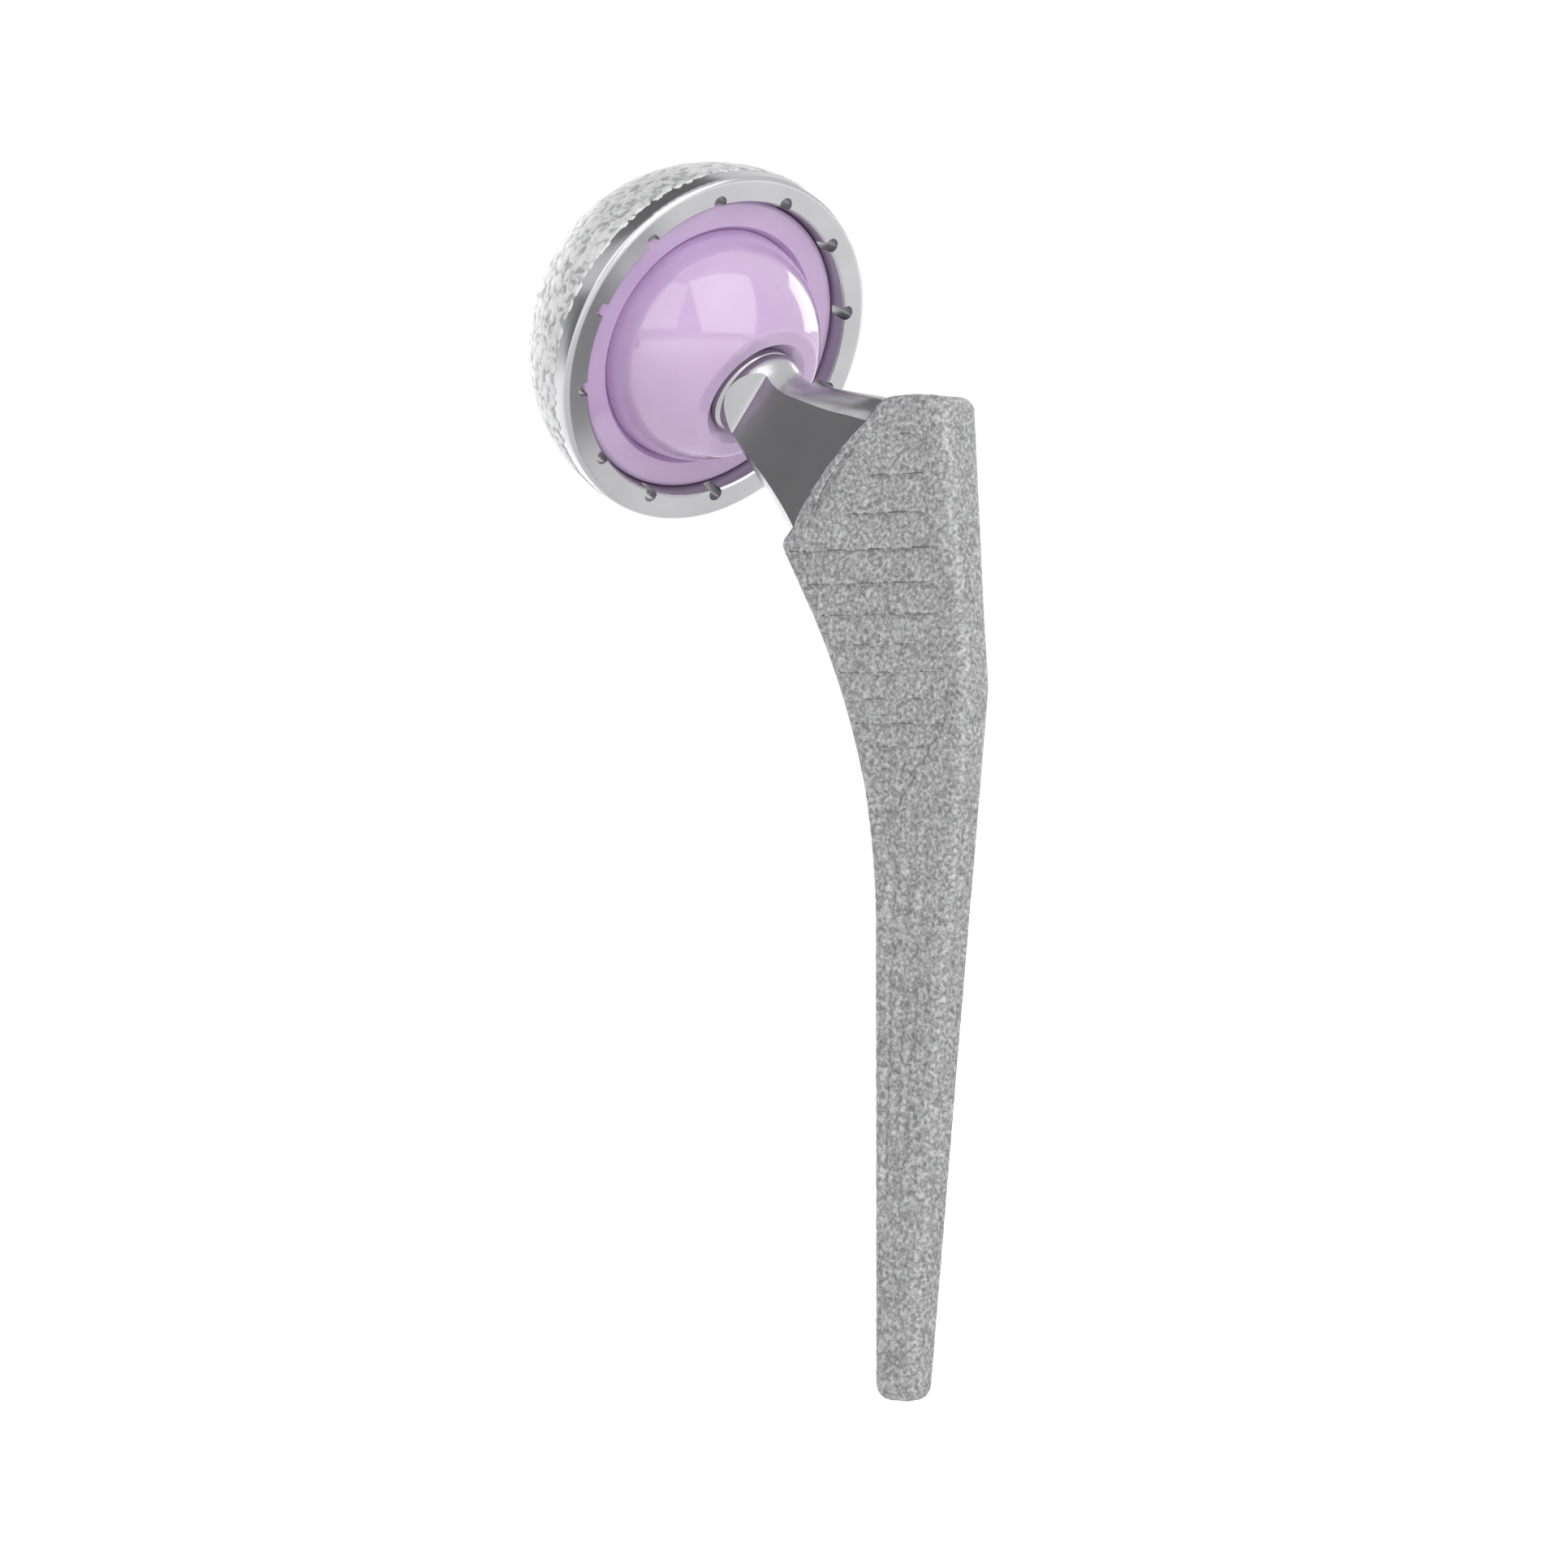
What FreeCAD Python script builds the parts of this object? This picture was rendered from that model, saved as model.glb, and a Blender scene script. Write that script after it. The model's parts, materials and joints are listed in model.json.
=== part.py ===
import FreeCAD, Part
import math
import os
import Sketcher
from FreeCAD import Vector

# Total hip replacement: a cementless femoral stem with a ceramic head on its taper,
# a ceramic liner and a porous-coated acetabular shell.
# Frame: X lateral, Y posterior, Z up. The origin is where the neck's axis crosses the
# axis of the canal part of the stem. Sizes are millimetres and degrees.

doc = FreeCAD.newDocument("HipReplacement")

SIZES = {
    # neck axis, head and cup axis
    "neck_angle": 38.5,
    "neck_length": 55.8,
    "head_radius": 18.0,
    "cup_drop": 25.0,
    "cup_turn": 10.5,
    # stem outline, seen from the front
    "stem_drop": 119.15,
    "canal_medial_x": -9.0,
    "calcar_start_z": -51.2,
    "calcar_radius": 99.0,
    "calcar_angle": 28.0,
    "medial_corner_z": 3.1,
    "shoulder_inner_x": -5.9,
    "shoulder_inner_z": 24.0,
    "shoulder_crown": 30.0,
    "crown_end_x": -10.6,
    "crown_end_z": 23.0,
    "trim": 8.0,
    "shoulder_outer_x": 4.75,
    "shoulder_outer_z": 23.5,
    "lateral_bend_x": 8.2,
    "lateral_bend_z": -17.2,
    "tip_lateral_x": -2.05,
    # roundings of that outline
    "tip_rounding": 2.3,
    "bend_rounding": 15.0,
    "shoulder_rounding": 2.0,
    "medial_corner_rounding": 1.4,
    "corner_clear_angle": 10.0,
    # front and back faces of the stem
    "blank_half_depth": 7.0,
    "shoulder_half_depth": 3.62,
    "depth_gauge_x": 5.0,
    "depth_gauge_z": 11.0,
    "front_taper": 1.8,
    "front_wedge": 2.3,
    "tip_half_depth": 2.65,
    "canal_taper": 0.15,
    "upper_part_end": -55.0,
    "canal_part_top": 0.0,
    "long_edge_rounding": 1.6,
    # ledges across the front and back
    "ledge_top_z": 18.7,
    "ledge_pitch": 5.77,
    "ledge_pitch_ratio": 0.941,
    "ledge_depth": 0.75,
    "ledge_lateral_gap": 2.4,
    "ledge_coat_gap": 5.2,
    "ledge_end_slant": 3.2,
    "ledge_reach": 30.0,
    "ledge_land": 0.05,
    "ledge_proud": 0.3,
    "flute_proud": 0.05,
    # flutes along the canal part
    "flute_width": 1.7,
    "flute_depth": 0.4,
    "flute_top_z": -38.4,
    "flute_bottom_z": -97.0,
    "flute_run_out": 5.0,
    "flute_middle_x": -2.1,
    "flute_pitch": 3.0,
    "side_flute_pitch": 2.0,
    "side_flute_top_z": -25.0,
    # threaded hole for the inserter, in the shoulder
    "inserter_hole_radius": 2.5,
    "inserter_hole_depth": 12.0,
    "inserter_hole_x": 0.6,
    "inserter_hole_lean": 2.75,
    # neck, from its collar to its root inside the coated part
    "neck_root": 18.8,
    "neck_radius": 6.85,
    "neck_root_half_depth": 6.3,
    "neck_waist": 0.7,
    "upper_flare": 8.6,
    "upper_flare_delay": 6.7,
    "upper_flare_power": 1.05,
    "lower_flare": 7.05,
    "lower_flare_delay": 2.2,
    "lower_flare_power": 1.15,
    "neck_flat_half": 4.25,
    "neck_flat_delay": 3.4,
    "neck_flat_reach": 3.5,
    "neck_ramp_angle": 45.0,
    "neck_ramp_rounding": 1.5,
    # trunnion, a 12/14 taper that ends a little inside the head's mouth
    "taper_half_angle": 2.83,
    "taper_recess": 1.45,
    "taper_length": 9.0,
    "taper_base_radius": 7.0,
    "taper_tip_chamfer": 0.5,
    "collar_radius": 7.2,
    "collar_thickness": 0.8,
    "trunnion_overlap": 0.3,
    # head
    "head_cut": 3.95,
    "head_base_rounding": 1.5,
    "head_mouth_margin": 1.9,
    "head_mouth_chamfer": 1.7,
    "head_bore_spare": 1.2,
    "taper_clearance": 0.02,
    # liner
    "ball_clearance": 0.05,
    "liner_wall": 3.0,
    "liner_centre_shift": 1.1,
    "liner_contact": 1.9,
    "liner_lead_in": 0.7,
    "liner_rim": 2.75,
    "liner_rim_rounding": 0.8,
    "seat_half_angle": 9.0,
    "seat_clearance": 0.05,
    # shell
    "shell_wall": 4.8,
    "shell_dome_shift": 3.45,
    "shell_face": 4.9,
    "shell_rim_rounding": 0.8,
    "shell_bore_chamfer": 0.25,
    "notch_radius": 1.1,
    "notch_offset": 0.52,
    "notch_depth": 2.4,
    "notch_first_angle": 18.25,
    "notch_count": 12,
    # plug in the shell's apex hole
    "apex_hole_radius": 4.0,
    "plug_clearance": 0.02,
    "plug_recess": 0.1,
    "plug_outer_recess": 0.45,
    "plug_socket_radius": 2.0,
    "plug_socket_depth": 1.1,
    "plug_slot_chamfer": 0.3,
}

sheet = doc.addObject("Spreadsheet::Sheet", "Sizes")
for row, (alias, value) in enumerate(SIZES.items(), start=1):
    sheet.set(f"A{row}", alias)
    sheet.set(f"B{row}", str(value))
    sheet.setAlias(f"B{row}", alias)
doc.recompute()


def size(alias):
    """The value that the sheet holds now."""
    return float(sheet.get(alias))


def named(text):
    """An expression in which each size's name is read from the sheet."""
    words = sorted(SIZES, key=len, reverse=True)
    out, position = "", 0
    while position < len(text):
        word = next((w for w in words if text.startswith(w, position)), None)
        if word and not (position and (text[position - 1].isalnum() or text[position - 1] in "_.")):
            out += "Sizes." + word
            position += len(word)
        else:
            out += text[position]
            position += 1
    return out


def worth(text):
    """The number that an expression gives."""
    return float(sheet.evalExpression(named(text)))


def bind(thing, **properties):
    """Tie properties of a document object to the sheet."""
    for prop, text in properties.items():
        thing.setExpression(prop.replace("__", "."), named(text))
    return thing


def place(thing, base=("0", "0", "0"), turns=("0", "0", "0")):
    """Tie a placement to the sheet: a point, then yaw, pitch and roll in degrees."""
    vector = f"create(<<vector>>; {'; '.join(base)})"
    rotation = f"create(<<rotation>>; {'; '.join(turns)})"
    thing.setExpression("Placement", named(f"create(<<placement>>; {vector}; {rotation})"))
    return thing


HEAD_X = "(-neck_length * cos(neck_angle * 1deg))"
HEAD_Z = "(neck_length * sin(neck_angle * 1deg))"
HEAD_CENTRE = (HEAD_X, "0", HEAD_Z)
NECK_TURNS = ("0", "90 + neck_angle", "0")
CUP_TURNS = ("-cup_turn", "90 + cup_drop", "0")

# Distances along the neck's axis from the centre of the head.
HEAD_BASE = "(head_radius - head_cut)"
TAPER_BASE = f"({HEAD_BASE} - taper_recess)"
TAPER_TIP = f"({TAPER_BASE} - taper_length)"
COLLAR_START = f"({TAPER_BASE} + collar_radius - taper_base_radius)"
COLLAR_END = f"({COLLAR_START} + collar_thickness)"
NECK_START = f"({COLLAR_END} + collar_radius - taper_base_radius)"
NECK_END = "(neck_length - neck_root)"


def origin_plane(body, role):
    return next(feature for feature in body.Origin.OriginFeatures if feature.Role == role)


def draw_outline(sketch, corners):
    """Closed outline through corners (x, y, radius): radius shapes the side that starts there.

    "" is a straight side; a radius is an arc, with its centre on the left of the way
    round when the text has no sign and on the right when it starts with a minus.
    """
    points = [Vector(worth(x), worth(y), 0) for x, y, _ in corners]
    count = len(corners)
    for i, (_, _, radius) in enumerate(corners):
        start, end = points[i], points[(i + 1) % count]
        if not radius:
            sketch.addGeometry(Part.LineSegment(start, end))
            continue
        bend = worth(radius)
        chord = end - start
        left = Vector(-chord.y, chord.x, 0).normalize()
        rise = math.sqrt(max(bend * bend - (chord.Length / 2) ** 2, 0.0))
        centre = (start + end) / 2 + left * math.copysign(rise, bend)
        outward = ((start + end) / 2 - left * math.copysign(1, bend) * 1e-6 - centre).normalize()
        middle = centre + outward * abs(bend)
        sketch.addGeometry(Part.Arc(start, middle, end))
    for i, (x, y, radius) in enumerate(corners):
        this_end = 1 if not radius or worth(radius) > 0 else 2
        last_radius = corners[i - 1][2]
        last_end = 2 if not last_radius or worth(last_radius) > 0 else 1
        previous = (i - 1) % count
        sketch.addConstraint(Sketcher.Constraint("Coincident", previous, last_end, i, this_end))
        for kind, text in (("DistanceX", x), ("DistanceY", y)):
            index = sketch.addConstraint(
                Sketcher.Constraint(kind, -1, 1, i, this_end, worth(text)))
            sketch.setExpression(f"Constraints[{index}]", named(text))
        if radius:
            index = sketch.addConstraint(Sketcher.Constraint("Radius", i, abs(worth(radius))))
            sketch.setExpression(f"Constraints[{index}]", named(radius.lstrip("-")))


def body_sketch(body, name, role, offset=None):
    """A sketch on one of a body's own origin planes, lifted by an offset."""
    sketch = body.newObject("Sketcher::SketchObject", name)
    sketch.AttachmentSupport = [(origin_plane(body, role), "")]
    sketch.MapMode = "FlatFace"
    if offset:
        sketch.setExpression("AttachmentOffset.Base.z", named(offset))
    return sketch


def revolved_body(name, label, corners):
    """A body turned about its own Z axis from an outline in its XZ plane."""
    body = doc.addObject("PartDesign::Body", name)
    body.Label = label
    sketch = body_sketch(body, name + "Profile", "XZ_Plane")
    draw_outline(sketch, corners)
    turned = body.newObject("PartDesign::Revolution", name + "Turned")
    turned.Profile = sketch
    turned.ReferenceAxis = (sketch, ["V_Axis"])
    turned.Angle = 360
    doc.recompute()
    return body, turned


def edge_names(shape, chosen):
    """Names of the edges of a shape that a test chooses."""
    return [f"Edge{i}" for i, edge in enumerate(shape.Edges, start=1) if chosen(edge)]


def round_edges(body, base, name, radius, chosen):
    """A fillet on the chosen edges of a body's feature."""
    fillet = body.newObject("PartDesign::Fillet", name)
    fillet.Base = (base, edge_names(base.Shape, chosen))
    bind(fillet, Radius=radius)
    doc.recompute()
    return fillet


def ring_at(radius, height):
    """Test for a circular edge about the Z axis with this radius and height."""
    def chosen(edge):
        if edge.Degenerated or edge.Curve.TypeId != "Part::GeomCircle":
            return False
        centre = edge.Curve.Center
        on_axis = math.hypot(centre.x, centre.y) < 1e-6
        same_size = abs(edge.Curve.Radius - radius) < 1e-4
        return on_axis and same_size and abs(centre.z - height) < 1e-4
    return chosen


# Stem: outline of the coated part

CALCAR_TOP_X = "(canal_medial_x - calcar_radius * (1 - cos(calcar_angle * 1deg)))"
CALCAR_TOP_Z = "(calcar_start_z + calcar_radius * sin(calcar_angle * 1deg))"
MEDIAL_CORNER_X = f"({CALCAR_TOP_X} - (medial_corner_z - {CALCAR_TOP_Z}) * tan(calcar_angle * 1deg))"
COAT_SLOPE = f"((shoulder_inner_z - medial_corner_z) / (shoulder_inner_x - {MEDIAL_CORNER_X}))"


def parallel_to_y(edge):
    ends = edge.Vertexes
    return len(ends) == 2 and abs(ends[0].X - ends[1].X) < 1e-6 and abs(ends[0].Z - ends[1].Z) < 1e-6


def corner_at(x, z):
    """Test for the edge across the stem's depth at one corner of its outline."""
    def chosen(edge):
        return parallel_to_y(edge) and math.hypot(edge.Vertexes[0].X - x, edge.Vertexes[0].Z - z) < 1e-3
    return chosen


def lateral_x(along):
    """Lateral outline above the bend, at a height."""
    rise = "(shoulder_outer_z - lateral_bend_z)"
    return (f"(lateral_bend_x + (shoulder_outer_x - lateral_bend_x)"
            f" * (({along}) - lateral_bend_z) / {rise})")


def canal_x(along):
    """Lateral outline below the bend, at a height."""
    return (f"(tip_lateral_x + (lateral_bend_x - tip_lateral_x)"
            f" * (({along}) + stem_drop) / (lateral_bend_z + stem_drop))")


def medial_x(along):
    """Medial outline above the calcar's curve, at a height."""
    return f"({CALCAR_TOP_X} - (({along}) - {CALCAR_TOP_Z}) * tan(calcar_angle * 1deg))"


def tapered_part(name, corners, roundings, gauge, half_depth, taper, wedge, ends):
    """One length of the stem: an outline pressed to two tapered faces, long edges rounded.

    ends are the normals of faces that lie inside the other length, so stay sharp.
    """
    body = doc.addObject("PartDesign::Body", name)
    sketch = body_sketch(body, name + "Outline", "XZ_Plane")
    draw_outline(sketch, corners)
    last = body.newObject("PartDesign::Pad", name + "Blank")
    last.Profile = sketch
    last.SideType = "Symmetric"
    bind(last, Length="2 * blank_half_depth")
    doc.recompute()
    for word, radius, x, z in roundings:
        last = round_edges(body, last, f"{name}{word}Rounding", radius, corner_at(worth(x), worth(z)))
    for side, word in ((-1, "Front"), (1, "Back")):
        last = shave_face(body, f"{name}{word}", side, gauge, half_depth,
                          face_turns(side, taper, wedge))

    def long_edge(edge):
        faces = last.Shape.ancestorsOfType(edge, Part.Face)
        normals = [face.normalAt(*face.Surface.parameter(face.CenterOfMass)) for face in faces]
        on_face = [abs(normal.y) > 0.9 for normal in normals]
        at_end = any(normal.dot(end) > 0.9999 for normal in normals for end in ends)
        return sum(on_face) == 1 and not at_end

    round_edges(body, last, f"{name}LongEdges", "long_edge_rounding", long_edge)
    return body


def face_turns(side, taper, wedge):
    """Turns that lay a plane on the front (-1) or back (1) face."""
    sign = "" if side < 0 else "-"
    return (f"{sign}{wedge}", "0", f"{sign}{taper}")


def shave_face(body, name, side, gauge, half_depth, turns):
    """Cut a body back to one tapered face with a large box."""
    reach = "(2 * stem_drop)"
    box = body.newObject("PartDesign::SubtractiveBox", name)
    box.AttachmentSupport = [(origin_plane(body, "XY_Plane"), "")]
    box.MapMode = "FlatFace"
    bind(box, Length=f"2 * {reach}", Width="2 * blank_half_depth", Height=f"2 * {reach}")
    yaw, pitch, roll = turns
    near = "0" if side > 0 else "-2 * blank_half_depth"
    sign = "" if side > 0 else "-"
    x, z = gauge
    box.setExpression("AttachmentOffset", named(
        f"create(<<placement>>; create(<<vector>>; {x}; {sign}{half_depth}; {z}); "
        f"create(<<rotation>>; {yaw}; {pitch}; {roll})) * create(<<placement>>; "
        f"create(<<vector>>; -{reach}; {near}; -{reach}); create(<<rotation>>; 0; 0; 0))"))
    doc.recompute()
    return box


def upper_part():
    """The wide upper length, which the coat line and the neck end."""
    trimmed = (medial_x("medial_corner_z + trim"), "medial_corner_z + trim")
    rise = size("crown_end_z") - worth(trimmed[1])
    run = size("crown_end_x") - worth(trimmed[0])
    return tapered_part(
        "UpperPart",
        [
            ("canal_medial_x", "upper_part_end", ""),
            (canal_x("upper_part_end"), "upper_part_end", ""),
            ("lateral_bend_x", "lateral_bend_z", ""),
            ("shoulder_outer_x", "shoulder_outer_z", "shoulder_crown"),
            ("crown_end_x", "crown_end_z", ""),
            (*trimmed, ""),
            (CALCAR_TOP_X, CALCAR_TOP_Z, "-calcar_radius"),
            ("canal_medial_x", "calcar_start_z", ""),
        ],
        [
            ("Bend", "bend_rounding", "lateral_bend_x", "lateral_bend_z"),
            ("Shoulder", "shoulder_rounding", "shoulder_outer_x", "shoulder_outer_z"),
        ],
        ("depth_gauge_x", "depth_gauge_z"), "shoulder_half_depth", "front_taper", "front_wedge",
        [Vector(0, 0, -1), Vector(-rise, 0, run).normalize()])


def canal_part():
    """The slim lower length, which stands in the canal of the bone."""
    return tapered_part(
        "CanalPart",
        [
            ("canal_medial_x", "-stem_drop", ""),
            ("tip_lateral_x", "-stem_drop", ""),
            ("lateral_bend_x", "lateral_bend_z", ""),
            (lateral_x("canal_part_top"), "canal_part_top", ""),
            (medial_x("canal_part_top"), "canal_part_top", ""),
            (CALCAR_TOP_X, CALCAR_TOP_Z, "-calcar_radius"),
            ("canal_medial_x", "calcar_start_z", ""),
        ],
        [
            ("MedialTip", "tip_rounding", "canal_medial_x", "-stem_drop"),
            ("LateralTip", "tip_rounding", "tip_lateral_x", "-stem_drop"),
            ("Bend", "bend_rounding", "lateral_bend_x", "lateral_bend_z"),
        ],
        ("0", "(-stem_drop)"), "tip_half_depth", "canal_taper", "0",
        [Vector(0, 0, 1)])


def coated_part():
    """The part that the coating covers, up to the slanted coat line."""
    lengths = doc.addObject("Part::MultiFuse", "BothLengths")
    lengths.Shapes = [upper_part(), canal_part()]
    coated = doc.addObject("Part::Cut", "CoatedPart")
    coated.Base = lengths
    coated.Tool = coat_line_cutter("CoatLine")
    return coated


def coat_line_cutter(name):
    """All that lies above the slanted line where the coating ends at the neck."""
    body = doc.addObject("PartDesign::Body", name)
    sketch = body_sketch(body, name + "Outline", "XZ_Plane")
    above = "(shoulder_inner_z + trim)"
    lean = "((calcar_angle - corner_clear_angle) * 1deg)"
    low_x = f"({MEDIAL_CORNER_X} + trim / 2 * sin{lean})"
    low_z = f"(medial_corner_z - trim / 2 * cos{lean})"
    draw_outline(sketch, [
        (MEDIAL_CORNER_X, "medial_corner_z", ""),
        (f"shoulder_inner_x + trim / {COAT_SLOPE}", above, ""),
        (f"{MEDIAL_CORNER_X} - 2 * trim", above, ""),
        (f"{MEDIAL_CORNER_X} - 2 * trim", low_z, ""),
        (low_x, low_z, ""),
    ])
    pad = body.newObject("PartDesign::Pad", name + "Pad")
    pad.Profile = sketch
    pad.SideType = "Symmetric"
    bind(pad, Length="4 * blank_half_depth")
    doc.recompute()
    round_edges(body, pad, name + "Rounding", "medial_corner_rounding",
                corner_at(worth(MEDIAL_CORNER_X), size("medial_corner_z")))
    return body


# Stem: ledges, flutes and the inserter hole, all cut with wedges

def wedge(name, side, outer, inner, heights, point, turns):
    """A wedge-shaped cutter that stands on a face and narrows into it.

    outer and inner are (low x, high x, low z, high z) at its top and at its bottom, and
    heights are how far it stands proud of the face and how deep it reaches.
    """
    proud, depth = heights
    cutter = doc.addObject("Part::Wedge", name)
    bind(cutter, Xmin=outer[0], Xmax=outer[1], Zmin=outer[2], Zmax=outer[3],
         X2min=inner[0], X2max=inner[1], Z2min=inner[2], Z2max=inner[3],
         Ymin=f"-{proud}", Ymax=depth)
    yaw, pitch, roll = turns
    x, y, z = point
    vector = f"create(<<vector>>; {x}; {y}; {z})"
    rotation = f"create(<<rotation>>; {yaw}; {pitch}; {roll})"
    flip = "create(<<rotation>>; 0; 0; 0)" if side < 0 else "create(<<rotation>>; 180; 0; 0)"
    cutter.setExpression("Placement", named(
        f"create(<<placement>>; {vector}; {rotation}) * create(<<placement>>; "
        f"create(<<vector>>; 0; 0; 0); {flip})"))
    return cutter


def proximal_half_depth(x, z):
    """Half depth of the proximal part of the stem at a place on its face."""
    slope_z = "tan(front_taper * 1deg)"
    slope_x = "tan(front_wedge * 1deg)"
    return (f"(shoulder_half_depth + {slope_z} * (({z}) - depth_gauge_z)"
            f" + {slope_x} * (depth_gauge_x - ({x})))")


LEDGE_COUNT = 14
UPPER_LEDGES = 3
FADING_LEDGES = 3


def ledge_cutters():
    """Saw-tooth ledges that face down, closer together towards the canal part."""
    cutters = []
    for side, word in ((-1, "Front"), (1, "Back")):
        for i in range(LEDGE_COUNT):
            top = (f"(ledge_top_z - ledge_pitch * (1 - ledge_pitch_ratio ^ {i})"
                   " / (1 - ledge_pitch_ratio))")
            pitch = f"(ledge_pitch * ledge_pitch_ratio ^ {i})"
            slope = "((lateral_bend_x - shoulder_outer_x) / (shoulder_outer_z - lateral_bend_z))"
            fading = max(0, i - (LEDGE_COUNT - FADING_LEDGES - 1))
            high = (f"(shoulder_outer_x + {slope} * (shoulder_outer_z - max({top}; lateral_bend_z))"
                    f" - ledge_lateral_gap * (1 + {fading}))")
            if i < UPPER_LEDGES:
                low = f"(shoulder_inner_x - (shoulder_inner_z - {top}) / {COAT_SLOPE} + ledge_coat_gap)"
            else:
                low = "(-ledge_reach)"
            depth = f"(ledge_depth * ledge_pitch_ratio ^ {i / 2})"
            ramp = f"(({pitch} - ledge_land) * ({depth} + ledge_proud) / {depth})"
            half = proximal_half_depth("0", top)
            sign = "-" if side < 0 else ""
            outer = [low, high, f"-{ramp}", "0"]
            inner = [low, f"{high} - ledge_end_slant", "0", "0"]
            if i < UPPER_LEDGES:
                inner[0] = f"{low} + ledge_end_slant"
            if side > 0:
                outer[0], outer[1] = f"-{outer[1]}", f"-{outer[0]}"
                inner[0], inner[1] = f"-({inner[1]})", f"-({inner[0]})"
            cutters.append(wedge(f"{word}Ledge{i + 1}", side, outer, inner, ("ledge_proud", depth),
                                 ("0", f"{sign}{half}", top),
                                 face_turns(side, "front_taper", "front_wedge")))
    return cutters


def flute_cutters():
    """Shallow pointed flutes down the canal part: three on each face, two on the lateral side."""
    canal_slope = "((lateral_bend_x - tip_lateral_x) / (stem_drop + lateral_bend_z))"
    half = "(tip_half_depth + tan(canal_taper * 1deg) * (flute_top_z + stem_drop))"
    cutters = []
    for side, word in ((-1, "Front"), (1, "Back")):
        sign = "-" if side < 0 else ""
        yaw, _, roll = face_turns(side, "canal_taper", "0")
        for i in (-1, 0, 1):
            cutters.append(flute(
                f"{word}Flute{i + 2}", side, "flute_top_z",
                (f"flute_middle_x + {i} * flute_pitch", f"{sign}{half}", "flute_top_z"),
                (yaw, f"atan({canal_slope} * {i + 2} / 3)", roll)))
    for i in (-1, 1):
        cutters.append(flute(
            f"LateralFlute{(i + 3) // 2}", -1, "side_flute_top_z",
            (canal_x("side_flute_top_z"), f"{i} * side_flute_pitch / 2", "side_flute_top_z"),
            ("90", "0", f"atan({canal_slope})")))
    return cutters


def flute(name, side, top, point, turns):
    """One V-shaped flute with pointed ends, from a height down to the end of the flutes."""
    length = f"({top} - flute_bottom_z)"
    outer = ["-flute_width / 2", "flute_width / 2", f"-{length}", "0"]
    inner = ["0", "0", f"-{length} + flute_run_out", "-flute_run_out"]
    return wedge(name, side, outer, inner, ("flute_proud", "flute_depth"), point, turns)


def inserter_hole():
    """Threaded hole for the inserter, sunk into the shoulder along the canal axis."""
    hole = doc.addObject("Part::Cylinder", "InserterHole")
    bind(hole, Radius="inserter_hole_radius", Height="inserter_hole_depth + shoulder_rounding")
    lean = "inserter_hole_lean"
    place(hole, (f"inserter_hole_x - inserter_hole_depth * sin({lean} * 1deg)", "0",
                 f"shoulder_inner_z - inserter_hole_depth * cos({lean} * 1deg)"),
          ("0", lean, "0"))
    point = doc.addObject("Part::Cone", "InserterHoleEnd")
    bind(point, Radius1="0", Radius2="inserter_hole_radius", Height="inserter_hole_radius * 0.6")
    deeper = "(inserter_hole_depth + inserter_hole_radius * 0.6)"
    place(point, (f"inserter_hole_x - {deeper} * sin({lean} * 1deg)", "0",
                  f"shoulder_inner_z - {deeper} * cos({lean} * 1deg)"),
          ("0", lean, "0"))
    return [hole, point]


# Stem: neck and trunnion, along the neck's axis from the centre of the head

NECK_SECTIONS = 8
LOFT_START = f"({NECK_START} - trunnion_overlap)"
FLAT_START = f"({NECK_START} + neck_flat_delay)"


def neck_loft():
    """The polished neck: ellipses that widen from the round collar into the stem."""
    rings = []
    for i in range(NECK_SECTIONS):
        share = f"({i} / {NECK_SECTIONS - 1})"
        along = f"({LOFT_START} + ({NECK_END} - {LOFT_START}) * {share})"

        def flare(kind):
            start = f"({NECK_START} + {kind}_flare_delay)"
            run = f"max(0; ({along} - {start}) / ({NECK_END} - {start}))"
            return f"(neck_radius + {kind}_flare * {run} ^ {kind}_flare_power)"

        upper, lower = flare("upper"), flare("lower")
        straight = f"(neck_radius + (neck_root_half_depth - neck_radius) * {share})"
        depth = f"({straight} - neck_waist * 4 * {share} * (1 - {share}))"
        wide = f"(({upper} + {lower}) / 2)"
        shift = f"(({lower} - {upper}) / 2)"
        ring = doc.addObject("Part::Ellipse", f"NeckRing{i + 1}")
        # The first ring is a true circle, so its radii differ by less than a micrometre.
        bind(ring, MajorRadius=f"max({wide}; {depth} + 0.0001)", MinorRadius=depth)
        vector = f"create(<<vector>>; {shift}; 0; {along})"
        head = f"create(<<vector>>; {'; '.join(HEAD_CENTRE)})"
        turns = f"create(<<rotation>>; {'; '.join(NECK_TURNS)})"
        ring.setExpression("Placement", named(
            f"create(<<placement>>; {head}; {turns}) * create(<<placement>>; {vector}; "
            "create(<<rotation>>; 0; 0; 0))"))
        rings.append(ring)
    loft = doc.addObject("Part::Loft", "NeckLoft")
    loft.Sections = rings
    loft.Solid = True
    loft.Ruled = False
    return loft


def flat_cutter():
    """What is milled off the neck: its two flats and their ramps, up to the coat line."""
    flats = [flat_tool(side, word) for side, word in ((-1, "Front"), (1, "Back"))]
    end = coat_line_cutter("FlatEnd")
    tools = doc.addObject("Part::MultiFuse", "FlatTools")
    tools.Shapes = flats
    cutter = doc.addObject("Part::MultiCommon", "FlatCutter")
    cutter.Shapes = [tools, end]
    return cutter


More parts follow.
